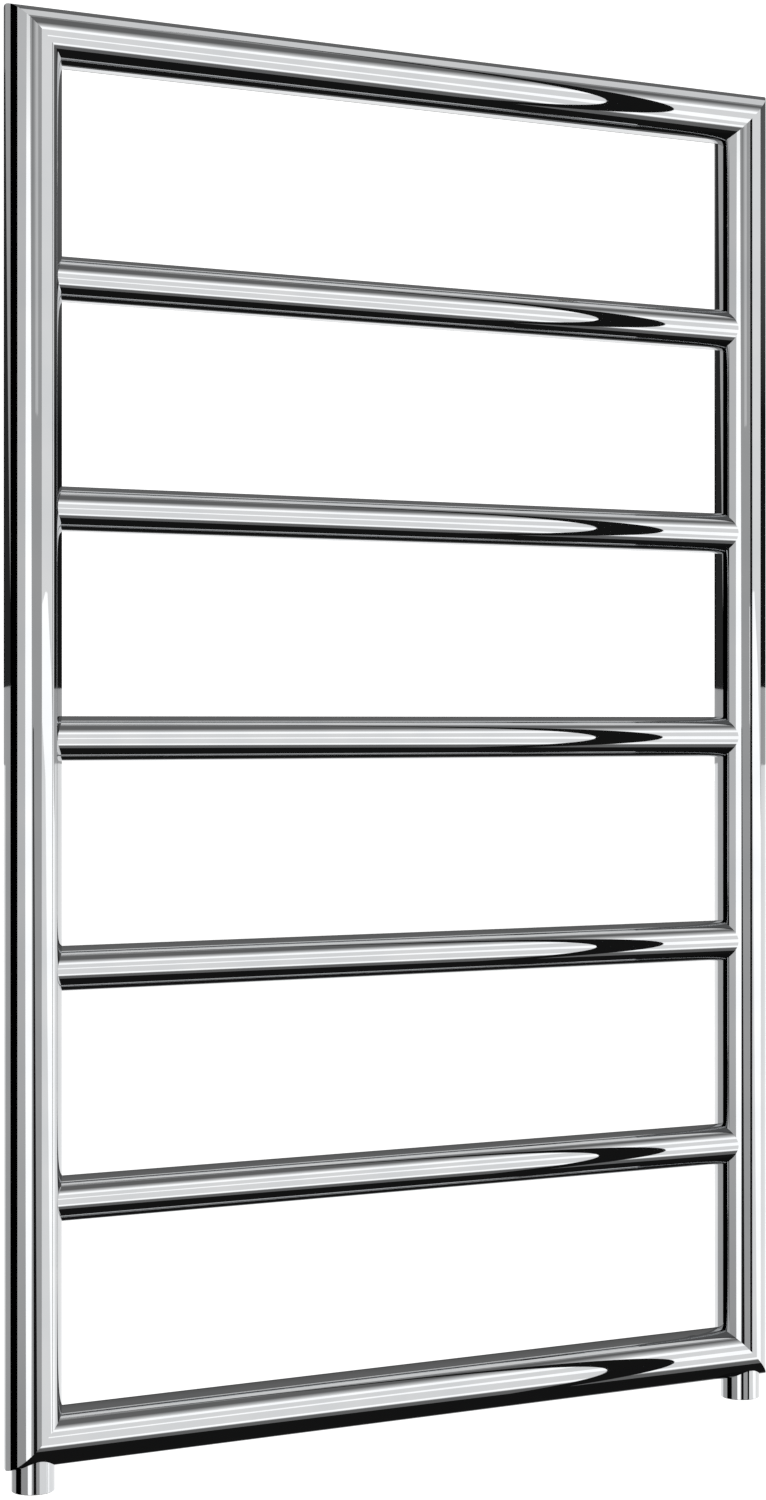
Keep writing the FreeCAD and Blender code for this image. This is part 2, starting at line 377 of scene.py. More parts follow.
def as_object(bm: BMesh, name: str, material: Material) -> Object:
    """Puts a mesh in the scene.

    Args:
        bm: The mesh; it is freed.
        name: Its name.
        material: Its material.

    Returns:
        The object.
    """
    mesh = bpy.data.meshes.new(name)
    bm.to_mesh(mesh)
    bm.free()
    mesh.materials.append(material)
    made = bpy.data.objects.new(name, mesh)
    bpy.context.scene.collection.objects.link(made)
    return made


def new_piece(
    bm: BMesh,
    node: str,
    make: str,
    slot: Slot,
    material: Material,
    body: str = "frame",
) -> Object:
    """Turns a bmesh into the finished piece that stands for a CAD node.

    Args:
        bm: The mesh in the row frame; it is freed.
        node: The CAD node it replaces, whose name its own starts with.
        make: How it is made, which ends its name.
        slot: The record's material slot; not used.
        material: Its finish.
        body: The CAD body it moves with.

    Returns:
        The object.
    """
    bmesh.ops.remove_doubles(bm, verts=bm.verts, dist=MERGE)
    bmesh.ops.recalc_face_normals(bm, faces=bm.faces)
    for face in bm.faces:
        face.smooth = True
    made = as_object(bm, f"{node}_{make}", material)
    made.data.set_sharp_from_angle(angle=math.radians(SHARP_DEGREES))
    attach(made, body)
    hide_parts(node)
    return made


def of_kind(geometry: list[object], kind: type) -> list[object]:
    """Picks the elements of one kind from an operator's result."""
    return [item for item in geometry if isinstance(item, kind)]


def cut(bm: BMesh, point: Vector, normal: Vector, clear: bool) -> list[object]:
    """Cuts a mesh on a plane.

    Args:
        bm: The mesh.
        point: A point on the plane.
        normal: The plane's unit normal.
        clear: Whether what lies beyond the plane goes.

    Returns:
        The vertices and edges of the cut.
    """
    return bmesh.ops.bisect_plane(
        bm,
        geom=[*bm.verts, *bm.edges, *bm.faces],
        dist=ON_PLANE,
        plane_co=point,
        plane_no=normal,
        clear_outer=clear,
    )["geom_cut"]


def axis_point(node: str, depth: float) -> Vector:
    """The point of a node's axis, which runs straight back, at this depth along Y."""
    low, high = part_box(node)
    return Vector(((low.x + high.x) / 2, depth, (low.z + high.z) / 2))


@dataclass(frozen=True)
class Tube:
    """A straight hollow tube with walls true to the mirror, its ends still open."""

    start: Vector
    end: Vector
    radius: float
    bore: float
    segments: int = 224

    @property
    def line(self) -> Vector:
        """Unit vector from start to end."""
        return (self.end - self.start).normalized()

    def wall(self, bm: BMesh, radius: float, stations: list[float]) -> None:
        """Draws one open cylindrical wall.

        Args:
            bm: The mesh it goes in.
            radius: The wall's radius.
            stations: Distances from the start at which the wall has a ring, ascending from 0.
        """
        turn = self.line.to_track_quat("Z", "Y").to_matrix().to_4x4()
        matrix = Matrix.Translation(self.start) @ turn
        made = bmesh.ops.create_circle(bm, segments=self.segments, radius=radius, matrix=matrix)
        edges = list({edge for vert in made["verts"] for edge in vert.link_edges})
        for before, after in zip(stations, stations[1:]):
            grown = bmesh.ops.extrude_edge_only(bm, edges=edges)["geom"]
            edges = of_kind(grown, BMEdge)
            moved = of_kind(grown, BMVert)
            bmesh.ops.translate(bm, verts=moved, vec=self.line * (after - before))

    def lip(self, bm: BMesh, centre: Vector) -> None:
        """Closes a flat cut with a lip drawn in from the outer rim to the bore.

        A bridge can pair the two rims of a slanting cut the wrong way round, which turns the bore
        inside out, so the lip is the outer rim shrunk onto the inner one.

        Args:
            bm: The mesh that holds this tube alone.
            centre: Where the tube's axis meets the cut.
        """
        rim = []
        for edge in bm.edges:
            offset = edge.verts[0].co - self.start
            out = (offset - self.line * offset.dot(self.line)).length
            near = (edge.verts[0].co - centre).length < 2 * self.radius
            if edge.is_boundary and near and out > (self.radius + self.bore) / 2:
                rim.append(edge)
        grown = bmesh.ops.extrude_edge_only(bm, edges=rim)["geom"]
        shrink = self.bore / self.radius
        inner = of_kind(grown, BMVert)
        space = Matrix.Translation(-centre)
        bmesh.ops.scale(bm, vec=(shrink, shrink, shrink), space=space, verts=inner)

    def close(self, bm: BMesh) -> None:
        """Bridges the outer and inner rim at each end.

        Args:
            bm: The mesh that holds this tube alone.
        """
        middle = (self.start + self.end) / 2
        rims = [edge for edge in bm.edges if edge.is_boundary]
        for way in (-1, 1):
            here = [edge for edge in rims if way * (edge.verts[0].co - middle).dot(self.line) > 0]
            bmesh.ops.bridge_loops(bm, edges=here)


@dataclass(frozen=True)
class Turning:
    """A turned solid: a closed half-section spun round its own axis.

    The section's points are (radius, distance along the axis) in metres, and each corner is eased
    by a small arc.
    """

    foot: Vector
    axis: Axis
    section: tuple[tuple[float, float], ...]
    ease: float = 0.25 * MM
    steps: int = 96
    # Past each corner of a wall longer than this, a ring keeps the reflections straight.
    plain: float = 2.5 * MM
    guard: float = 0.15 * MM
    # The most of a wall that the arc at its end may take.
    most: float = 0.3

    def outline(self) -> list[Vector]:
        """Works out the section with its corners eased.

        Returns:
            The points, as (radius, along, 0).
        """
        corners = [Vector((radius, along, 0)) for radius, along in self.section]
        points = []
        for index, corner in enumerate(corners):
            before, after = corners[index - 1], corners[(index + 1) % len(corners)]
            if corner.x == 0:
                points.append(corner)
                continue
            cuts = []
            guards = []
            for other in (before, after):
                length = (other - corner).length
                line = (other - corner).normalized()
                reach = min(self.ease, length * self.most)
                cuts.append(corner + line * reach)
                guards.append([corner + line * (reach + self.guard)] if length > self.plain else [])
            points += guards[0]
            for part in (0.0, 0.25, 0.5, 0.75, 1.0):
                bend = 2 * part * (1 - part)
                points.append(cuts[0] * (1 - part) ** 2 + corner * bend + cuts[1] * part**2)
            points += guards[1]
        return points

    def add(self, bm: BMesh) -> None:
        """Spins the section into a mesh.

        Args:
            bm: The mesh it goes in.
        """
        line = self.axis.value
        out = Vector((line.z, line.x, line.y))
        verts = [bm.verts.new(self.foot + line * p.y + out * p.x) for p in self.outline()]
        edges = [bm.edges.new(pair) for pair in zip(verts, verts[1:] + verts[:1])]
        bmesh.ops.spin(
            bm,
            geom=verts + edges,
            cent=self.foot,
            axis=line,
            dvec=(0, 0, 0),
            angle=math.tau,
            steps=self.steps,
            use_merge=True,
        )


@dataclass(frozen=True)
class Rack:
    """The main sizes of the rack, read from the CAD boxes."""

    radius: float
    depth: float
    stile_x: float
    rail_z: float
    middle_z: float

    @classmethod
    def read(cls) -> "Rack":
        """Reads the sizes.

        Returns:
            The rack's sizes.
        """
        low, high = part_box("top_rail")
        radius = (high.z - low.z) / 2
        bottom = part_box("bottom_rail")[0].z
        return cls(
            radius=radius,
            depth=low.y + radius,
            stile_x=high.x - radius,
            rail_z=high.z - radius,
            middle_z=(high.z + bottom) / 2,
        )

    @property
    def middle(self) -> Vector:
        """The middle of the plane of the tubes."""
        return Vector((0, self.depth, self.middle_z))

    def corner(self, side: int, level: int) -> Vector:
        """Where the axes of a stile and a rail meet."""
        reach = Vector((side * self.stile_x, 0, level * (self.rail_z - self.middle_z)))
        return self.middle + reach


@dataclass(frozen=True)
class FrameLoop:
    """The mitred outer frame: two stiles and two rails, welded and polished to a fine line."""

    rack: Rack
    upright: Material
    level: Material
    wall: float = 1.5 * MM
    # A loop just inside each cut keeps the reflections straight up to the joint.
    guard: float = 0.25 * MM
    # In tube radii: how far a tube is drawn past its corners before it is cut, and how far in from
    # there its walls have a ring.
    spare: float = 1.5
    inset: float = 2.6

    def mitre(self, bm: BMesh, corner: Vector, away: Vector) -> None:
        """Cuts the walls on a corner's mitre plane.

        Args:
            bm: The tube's walls.
            corner: A point on the plane.
            away: Unit normal of the plane, out of the tube.
        """
        for inset, clear in ((0.0, True), (self.guard, False)):
            cut(bm, corner - away * inset, away, clear)

    def member(self, node: str, first: Vector, last: Vector, finish: Material) -> Object:
        """Makes one tube, mitred at both ends.

        Args:
            node: The CAD node that it stands for.
            first: The corner at its start.
            last: The corner at its end.
            finish: Its material.

        Returns:
            The piece.
        """
        radius = self.rack.radius
        line = (last - first).normalized()
        spare = line * radius * self.spare
        tube = Tube(first - spare, last + spare, radius, radius - self.wall)
        reach = (tube.end - tube.start).length
        plain = radius * self.inset
        bm = bmesh.new()
        for wall_radius in (tube.radius, tube.bore):
            tube.wall(bm, wall_radius, [0.0, plain, reach / 2, reach - plain, reach])
        for corner, way in ((first, -1), (last, 1)):
            outward = corner - self.rack.middle
            across = (outward - line * outward.dot(line)).normalized()
            self.mitre(bm, corner, (line * way - across).normalized())
            tube.lip(bm, corner)
        return new_piece(bm, node, "tube", Slot.CHROME_TUBE, finish)

    def build(self) -> list[Object]:
        """Makes the four tubes.

        Returns:
            The pieces.
        """
        corner = self.rack.corner
        return [
            self.member("left_stile", corner(-1, -1), corner(-1, 1), self.upright),
            self.member("right_stile", corner(1, -1), corner(1, 1), self.upright),
            self.member("bottom_rail", corner(-1, -1), corner(1, -1), self.level),
            self.member("top_rail", corner(-1, 1), corner(1, 1), self.level),
        ]


@dataclass(frozen=True)
class Rungs:
    """The hanging rungs: tubes whose ends are saddled onto the stiles."""

    rack: Rack
    finish: Material
    wall: float = 1.5 * MM
    guard: float = 0.3 * MM
    # How far short of the stiles the straight part ends.
    saddle_room: float = 6 * MM

    def saddle(self, depth: float, short: float) -> float:
        """Distance along X from the rack's middle to this short of a stile's wall, at a depth."""
        return self.rack.stile_x - math.sqrt(self.rack.radius**2 - depth**2) - short

    def rung(self, node: str) -> Object:
        """Makes one rung.

        Args:
            node: The CAD node that it stands for.

        Returns:
            The piece.
        """
        low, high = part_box(node)
        radius = (high.z - low.z) / 2
        plain = Vector((self.saddle(0, self.saddle_room), 0, 0))
        middle = Vector((0, self.rack.depth, (high.z + low.z) / 2))
        tube = Tube(middle - plain, middle + plain, radius, radius - self.wall)
        bm = bmesh.new()
        for wall_radius in (tube.radius, tube.bore):
            tube.wall(bm, wall_radius, [0.0, plain.x, 2 * plain.x])
        for short in (self.guard, 0.0):
            rim = [edge for edge in bm.edges if edge.is_boundary]
            grown = bmesh.ops.extrude_edge_only(bm, edges=rim)["geom"]
            for vert in of_kind(grown, BMVert):
                reach = self.saddle(vert.co.y - middle.y, short)
                vert.co.x = math.copysign(reach, vert.co.x)
        tube.close(bm)
        return new_piece(bm, node, "tube", Slot.CHROME_TUBE, self.finish)

    def build(self, nodes: list[str]) -> list[Object]:
        """Makes the rungs that stand for these CAD nodes."""
        return [self.rung(node) for node in nodes]


@dataclass(frozen=True)
class Thread:
    """A threaded bore, its turns drawn as rings."""

    bore: float
    groove: float
    pitch: float
    turns: int
    lead_in: float

    def rings(self, way: int) -> list[tuple[float, float]]:
        """Half-section of the bore from its open end in.

        Args:
            way: 1 if it runs in along the part's axis and -1 if against it.

        Returns:
            The points, as (radius, distance along the axis).
        """
        points = [(self.groove, 0.0)]
        for turn in range(self.turns):
            foot = self.lead_in + turn * self.pitch
            points.append((self.bore, way * foot))
            points.append((self.groove, way * (foot + self.pitch / 2)))
        return [*points, (self.bore, way * (self.lead_in + self.turns * self.pitch))]


@dataclass(frozen=True)
class Tails:
    """The two short tails under the frame, threaded inside for the valves."""

    finish: Material
    # G1/2.
    thread: Thread = Thread(9.3 * MM, 10.4 * MM, 1.814 * MM, turns=8, lead_in=1.2 * MM)
    ease: float = 0.3 * MM
    steps: int = 160

    def tail(self, node: str) -> Object:
        """Makes one tail.

        Args:
            node: The CAD node that it stands for.

        Returns:
            The piece.
        """
        low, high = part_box(node)
        foot = Vector(((low.x + high.x) / 2, (low.y + high.y) / 2, low.z))
        radius, length = (high.x - low.x) / 2, high.z - low.z
        bore = self.thread.rings(1)
        section = ((radius, length), (radius, 0.0), *bore, (self.thread.bore, length))
        bm = bmesh.new()
        Turning(foot, Axis.UP, section, self.ease, self.steps).add(bm)
        return new_piece(bm, node, "turned", Slot.CHROME_FITTING, self.finish)

    def build(self) -> list[Object]:
        """Makes both tails."""
        return [self.tail("left_tail"), self.tail("right_tail")]


@dataclass(frozen=True)
class Bosses:
    """The four threaded bosses behind the stiles that the wall brackets bolt to."""

    finish: Material
    # M8.
    thread: Thread = Thread(3.4 * MM, 3.95 * MM, 1.25 * MM, turns=6, lead_in=0.6 * MM)

    def boss(self, node: str) -> Object:
        """Makes one boss, from its open end in towards the front.

        Args:
            node: The CAD node that it stands for.

        Returns:
            The piece.
        """
        low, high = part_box(node)
        radius, length = (high.x - low.x) / 2, high.y - low.y
        bore = self.thread.rings(-1)
        outside = ((0.0, -length), (radius, -length), (radius, 0.0))
        bm = bmesh.new()
        section = (*outside, *bore, (0.0, bore[-1][1]))
        Turning(axis_point(node, high.y), Axis.BACK, section).add(bm)
        return new_piece(bm, node, "turned", Slot.CHROME_FITTING, self.finish)

    def build(self, nodes: list[str]) -> list[Object]:
        """Makes the bosses that stand for these CAD nodes."""
        return [self.boss(node) for node in nodes]


def mill_flats(bm: BMesh, centre: Vector, count: int, reach: float) -> None:
    """Mills flats round a turned bar whose axis runs straight back.

    Args:
        bm: The bar.
        centre: A point on its axis.
        count: How many flats it gets; one of them faces up.
        reach: Distance from the axis to each flat.
    """
    for number in range(count):
        angle = math.tau * number / count
        normal = Vector((math.sin(angle), 0, math.cos(angle)))
        rim = cut(bm, centre + normal * reach, normal, True)
        bmesh.ops.edgeloop_fill(bm, edges=of_kind(rim, BMEdge))


@dataclass(frozen=True)
class Sockets:
    """The two sockets brazed into the back of the top rail, and the seal in front of each head."""

    steel: Material
    rubber: Material
    thread_bore: float = 4.35 * MM
    seal_bore: float = 4.5 * MM
    socket_ease: float = 0.4 * MM
    # A new flat seal bulges a little when it is nipped up.
    seal_ease: float = 0.45 * MM

    def collar(self, node: str, bore: float, ease: float, slot: Slot, finish: Material) -> Object:
        """Makes one ring with eased edges.

        Args:
            node: The CAD node that it stands for.
            bore: Radius of its hole.
            ease: How far its edges are rounded.
            slot: Its material slot.
            finish: Its material.

        Returns:
            The piece.
        """
        low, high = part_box(node)
        radius, length = (high.x - low.x) / 2, high.y - low.y
        section = ((bore, 0.0), (radius, 0.0), (radius, length), (bore, length))
        bm = bmesh.new()
        Turning(axis_point(node, low.y), Axis.BACK, section, ease).add(bm)
        return new_piece(bm, node, "ring", slot, finish)

    def build(self) -> list[Object]:
        """Makes the sockets and seals.

        Returns:
            The pieces.
        """
        steel, rubber = (Slot.CHROME_FITTING, self.steel), (Slot.SEAL_RUBBER, self.rubber)
        made = []
        for place in ("vent", "plug"):
            made.append(self.collar(f"{place}_socket", self.thread_bore, self.socket_ease, *steel))
            made.append(self.collar(f"{place}_seal", self.seal_bore, self.seal_ease, *rubber))
        return made


@dataclass(frozen=True)
class AirVent:
    """The air vent: a plated body with a hexagon, a plastic drain ring and a brass bleed screw."""

    plated: Material
    brass: Material
    plastic: Material
    hex_reach: float = 6.0 * MM
    # The bar is a little smaller than the hexagon's corners, which rounds them.
    hex_bar: float = 6.72 * MM
    hex_length: float = 3.0 * MM
    hex_chamfer: float = 0.45 * MM
    shank: float = 4.3 * MM
    neck: float = 5.0 * MM
    lip: float = 5.7 * MM
    lip_length: float = 1.2 * MM
    body_ease: float = 0.2 * MM
    seat_bore: float = 1.5 * MM
    screw_bore: float = 3.05 * MM
    screw_seat: float = 2.0 * MM
    square_reach: float = 2.5 * MM
    square_bar: float = 3.4 * MM
    square_length: float = 5.0 * MM
    square_chamfer: float = 0.55 * MM
    square_root: float = 0.15 * MM
    screw: float = 3.0 * MM
    screw_tip: float = 2.0 * MM
    cone_length: float = 2.0 * MM
    screw_ease: float = 0.15 * MM
    ring_bore: float = 5.05 * MM
    ring: float = 7.5 * MM
    ring_ease: float = 0.4 * MM
    ring_groove: float = 0.35 * MM
    # The finger groove starts this share of the width in, and is at full depth at that one.
    groove_edge: float = 0.3
    groove_bed: float = 0.42
    spout: float = 1.8 * MM
    spout_bore: float = 0.9 * MM
    spout_length: float = 3.5 * MM

    @property
    def seat(self) -> float:
        """Depth at which the hexagon sits on its seal."""
        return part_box("vent_seal")[1].y

    def body(self) -> Object:
        """Makes the vent's body from one turned bar with six flats milled on it.

        Returns:
            The piece.
        """
        low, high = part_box("vent_body")
        start, end = low.y - self.seat, high.y - self.seat
        section = (
            (self.seat_bore, start),
            (self.shank, start),
            (self.shank, 0.0),
            (self.hex_bar - self.hex_chamfer, 0.0),
            (self.hex_bar, self.hex_chamfer / 2),
            (self.hex_bar, self.hex_length - self.hex_chamfer / 2),
            (self.hex_bar - self.hex_chamfer, self.hex_length),
            (self.neck, self.hex_length),
            (self.neck, end - self.lip_length),
            (self.lip, end - self.lip_length),
            (self.lip, end),
            (self.screw_bore, end),
            (self.screw_bore, self.screw_seat),
            (self.seat_bore, self.screw_seat),
        )
        foot = axis_point("vent_body", self.seat)
        bm = bmesh.new()
        Turning(foot, Axis.BACK, section, self.body_ease).add(bm)
        mill_flats(bm, foot, 6, self.hex_reach)
        return new_piece(bm, "vent_body", "turned", Slot.PLATED_BRASS, self.plated)

    def bleed_screw(self) -> Object:
        """Makes the screw: a coned shank and, on its end, a bar with four flats.

        Returns:
            The piece.
        """
        low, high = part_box("bleed_screw")
        head = high.y - self.square_length
        reach = head - low.y
        shank = (
            (0.0, 0.0),
            (self.screw_tip, 0.0),
            (self.screw, self.cone_length),
            (self.screw, reach),
            (0.0, reach),
        )
        inner = self.square_bar - self.square_chamfer
        square = (
            (0.0, -self.square_root),
            (self.square_bar, -self.square_root),
            (self.square_bar, self.square_length - self.square_chamfer),
            (inner, self.square_length),
            (0.0, self.square_length),
        )
        foot = axis_point("bleed_screw", head)
        bm = bmesh.new()
        Turning(foot, Axis.BACK, square, self.screw_ease).add(bm)
        bmesh.ops.remove_doubles(bm, verts=bm.verts, dist=MERGE)
        mill_flats(bm, foot, 4, self.square_reach)
        tip = axis_point("bleed_screw", low.y)
        Turning(tip, Axis.BACK, shank, self.screw_ease).add(bm)
        return new_piece(bm, "bleed_screw", "turned", Slot.BARE_BRASS, self.brass, "bleed_screw")

    def drain_ring(self) -> Object:
        """Makes the ring, with a finger groove round it, and its spout.

        Returns:
            The piece.
        """
        low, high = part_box("drain_ring")
        width = high.y - low.y
        section = (
            (self.ring_bore, 0.0),
            (self.ring, 0.0),
            (self.ring, width * self.groove_edge),
            (self.ring - self.ring_groove, width * self.groove_bed),
            (self.ring - self.ring_groove, width * (1 - self.groove_bed)),
            (self.ring, width * (1 - self.groove_edge)),
            (self.ring, width),
            (self.ring_bore, width),
        )
        pipe = (
            (self.spout_bore, 0.0),
            (self.spout, 0.0),
            (self.spout, self.spout_length),
            (self.spout_bore, self.spout_length),
        )
        axis = axis_point("vent_body", low.y)
        mouth = Vector((axis.x, (low.y + high.y) / 2, low.z))
        bm = bmesh.new()
        Turning(axis, Axis.BACK, section, self.ring_ease).add(bm)
        Turning(mouth, Axis.UP, pipe, steps=48).add(bm)
        return new_piece(bm, "drain_ring", "moulded", Slot.RING_PLASTIC, self.plastic, "drain_ring")

    def build(self) -> list[Object]:
        """Makes the vent's three pieces."""
        return [self.body(), self.bleed_screw(), self.drain_ring()]


@dataclass(frozen=True)
class BlankingPlug:
    """The plug that closes the other socket, turned with a hexagon recess for its key."""

    plated: Material
    shank: float = 4.3 * MM
    head_length: float = 4.0 * MM
    chamfer: float = 0.6 * MM
    key_reach: float = 2.5 * MM
    key_depth: float = 3.0 * MM
    ease: float = 0.2 * MM

    def press_key(self, bm: BMesh, foot: Vector, recess: float) -> None:
        """Presses the round recess into a hexagon.

        Args:
            bm: The plug.
            foot: A point on its axis.
            recess: The round recess's radius, out to the hexagon's corners.
        """
        sixth = math.radians(60)
        floor = foot.y + self.head_length - self.key_depth - self.chamfer / 2
        for vert in bm.verts:
            across = Vector((vert.co.x - foot.x, 0, vert.co.z - foot.z))
            if vert.co.y < floor or across.length > recess + self.chamfer:
                continue
            turn = (math.atan2(across.x, across.z) + sixth / 2) % sixth
            across *= math.cos(sixth / 2) / math.cos(turn - sixth / 2)
            vert.co = Vector((foot.x, vert.co.y, foot.z)) + across

    def build(self) -> Object:
        """Makes the plug.

        Returns:
            The piece.
        """
        low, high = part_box("blanking_plug")
        seat = high.y - self.head_length
        radius = (high.x - low.x) / 2
        recess = self.key_reach / math.cos(math.radians(30))
        floor = self.head_length - self.key_depth
        section = (
            (0.0, low.y - seat),
            (self.shank, low.y - seat),
            (self.shank, 0.0),
            (radius, 0.0),
            (radius, self.head_length - self.chamfer),
            (radius - self.chamfer, self.head_length),
            (recess, self.head_length),
            (recess, floor),
            (0.0, floor),
        )
        foot = axis_point("blanking_plug", seat)
        bm = bmesh.new()
        Turning(foot, Axis.BACK, section, self.ease).add(bm)
        self.press_key(bm, foot, recess)
        return new_piece(bm, "blanking_plug", "turned", Slot.PLATED_BRASS, self.plated)


def towards(azimuth: float, elevation: float) -> Vector:
    """Unit direction; azimuth 0 is the rack's front and grows to its right, in degrees."""
    a, e = math.radians(azimuth), math.radians(elevation)
    return Vector((math.sin(a) * math.cos(e), -math.cos(a) * math.cos(e), math.sin(e)))


@dataclass(frozen=True)
class Card:
    """A curved card of the studio tent, seen only in polished surfaces.

    Its corners are (azimuth, elevation) in degrees: lower left, lower right, upper right, upper
    left. Lower and upper are the tones along its bottom and top edge.
    """

    name: str
    corners: tuple[tuple[float, float], ...]
    lower: Tone
    upper: Tone
    distance: float = BACKDROP

    @classmethod
    def span(
        cls,
        name: str,
        azimuths: tuple[float, float],
        elevations: tuple[float, float],
        lower: Tone,
        upper: Tone | None = None,
        distance: float = BACKDROP,
    ) -> "Card":
        """Makes an upright card.

        Args:
            name: Its name.
            azimuths: Left and right edge in degrees.
            elevations: Lower and upper edge in degrees.
            lower: Tone of the bottom edge.
            upper: Tone of the top edge, the same as the bottom's if left out.
            distance: How far away it hangs.

        Returns:
            The card.
        """
        (left, right), (bottom, top) = azimuths, elevations
        corners = ((left, bottom), (right, bottom), (right, top), (left, top))
        return cls(name, corners, lower, upper or lower, distance)

    def point(self, across: float, up: float) -> Vector:
        """Finds a point of the card.

        Args:
            across: 0 at its left edge and 1 at its right.
            up: 0 at its bottom edge and 1 at its top.

        Returns:
            The point, from the tent's centre.
        """
        low_left, low_right, high_right, high_left = (Vector(c) for c in self.corners)
        bottom = low_left.lerp(low_right, across)
        top = high_left.lerp(high_right, across)
        return towards(*bottom.lerp(top, up)) * self.distance


@dataclass(frozen=True)
class Board:
    """A flat four-cornered board of the studio, its corners in metres from the tent's centre."""

    name: str
    corners: tuple[Vector, Vector, Vector, Vector]
    lower: Tone
    upper: Tone

    def point(self, across: float, up: float) -> Vector:
        """The point that lies this share of the way across and up, from the tent's centre."""
        low_left, low_right, high_right, high_left = self.corners
        return low_left.lerp(low_right, across).lerp(high_left.lerp(high_right, across), up)


def ribbon(name: str, stations: list[tuple[float, float, float]], tone: Tone) -> list[Card]:
    """Makes a bent strip of cards.

    Args:
        name: The strip's name.
        stations: (azimuth, lower edge, upper edge) in degrees, from left to right.
        tone: Its tone.

    Returns:
        One card between each two stations.
    """
    cards = []
    for number, (left, right) in enumerate(zip(stations, stations[1:]), start=1):
        corners = (
            (left[0], left[1]),
            (right[0], right[1]),
            (right[0], right[2]),
            (left[0], left[2]),
        )
        cards.append(Card(f"{name}_{number}", corners, tone, tone, STREAK))
    return cards


@dataclass(frozen=True)
class Softbox:
    """A tall lamp, widest at its belly, whose light fades towards its head.

    Its angles are in degrees, as a card's are.
    """

    name: str
    azimuth: float = -39.3
    belly: float = -2.5
    half_width: float = 12.8
    # How far below and above the belly its width has shrunk to 1/e.
    fall_below: float = 31.0
    fall_above: float = 25.0
    # It leans this many degrees sideways for each degree up.
    lean: float = -0.04
    foot: float = -40.0
    fade_start: float = 14.4
    fade_middle: float = 18.0
    head: float = 33.0
    steps: int = 12

    def sides(self, elevation: float) -> tuple[float, float]:
        """Finds its left and right edge at an elevation.

        Args:
            elevation: The elevation.

        Returns:
            The two edges' azimuths.
        """
        rise = elevation - self.belly
        fall = self.fall_below if rise < 0 else self.fall_above
        half = self.half_width * math.exp(-((rise / fall) ** 2))
        middle = self.azimuth + self.lean * rise
        return middle - half, middle + half

    def cards(self) -> list[Card]:
        """Cuts the lamp into cards.

        Returns:
            The cards, from its foot up.
        """
        step = (self.fade_start - self.foot) / self.steps
        levels = [(self.foot + step * number, Tone.LIT) for number in range(self.steps + 1)]
        levels += [(self.fade_middle, Tone.PAPER), (self.head, Tone.SILVER)]
        cards = []
        for number, (low, high) in enumerate(zip(levels, levels[1:]), start=1):
            (low_left, low_right), (high_left, high_right) = self.sides(low[0]), self.sides(high[0])
            corners = (
                (low_left, low[0]),
                (low_right, low[0]),
                (high_right, high[0]),
                (high_left, high[0]),
            )
            cards.append(Card(f"{self.name}_{number}", corners, low[1], high[1], NEAR))
        return cards


def tent_cards() -> list[Card]:
    """Names the tent's cards, from the backdrop to the lamps in front.

    Returns:
        The cards.
    """
    span = Card.span
    streak = [
        (12.5, 0.2, 3.6),
        (27, -1.5, 4.0),
        (36, -9.0, 4.0),
        (56, -22.0, 1.5),
        (74, -34.0, -3.0),
    ]
    rear_corner = ((184, 1), (247, 1), (203, 16.5), (184, 16.5))
    stand = ((-21.5, -27), (-5, -27), (-21.5, 0), (-24.5, 0))
    return [
        span("ceiling", (-180, 180), (44.5, 89.9), Tone.SHADE),
        span("cove", (-180, 180), (30, 44.5), Tone.PAPER, Tone.SHADE),
        span("floor_far", (-180, 180), (-44.5, -33), Tone.SHADE),
        span("floor_near", (-180, 180), (-89.9, -44.5), Tone.BLACK),
        span("rear_drape", (71, 202), (13, 50), Tone.SLATE, Tone.SHADE, FAR),
        span("rear_drape_hem", (71, 202), (8, 13), Tone.BLACK, Tone.SLATE, FAR),
        span("rear_bench", (71, 202), (1, 8), Tone.BLACK, None, FAR),
        span("rear_sweep", (74, 203), (-36, -1), Tone.PEARL, Tone.PAPER, FAR),
        Card("rear_corner", rear_corner, Tone.CHARCOAL, Tone.CHARCOAL, NEAR),
        span("right_diffuser", (12.5, 71), (-31, 33), Tone.PAPER, None, FAR),
        span("diffuser_head", (12.5, 71), (21.5, 29.5), Tone.LIT, None, NEAR),
        span("diffuser_foot", (12.5, 71), (-30, -24), Tone.LIT, None, NEAR),
        *ribbon("streak", streak, Tone.LIT),
        *Softbox("key").cards(),
        span("front_dip", (-26, -20), (8.5, 24), Tone.MID, Tone.SLATE, NEAR),
        span("front_glint", (-13, -2), (8, 33), Tone.SILVER, None, NEAR),
        span("left_side", (-86, -47.5), (-3, 33), Tone.SILVER, None, FAR),
        span("left_side_low", (-86, -47.5), (-22, -3), Tone.DUSK, Tone.SILVER, FAR),
        span("left_side_foot", (-86, -47.5), (-34, -22), Tone.DUSK, None, FAR),
        span("left_flag", (-119, -84), (-55, 50), Tone.PITCH, None, NEAREST),
        Card("stand", stand, Tone.BLACK, Tone.BLACK, STAND),
    ]


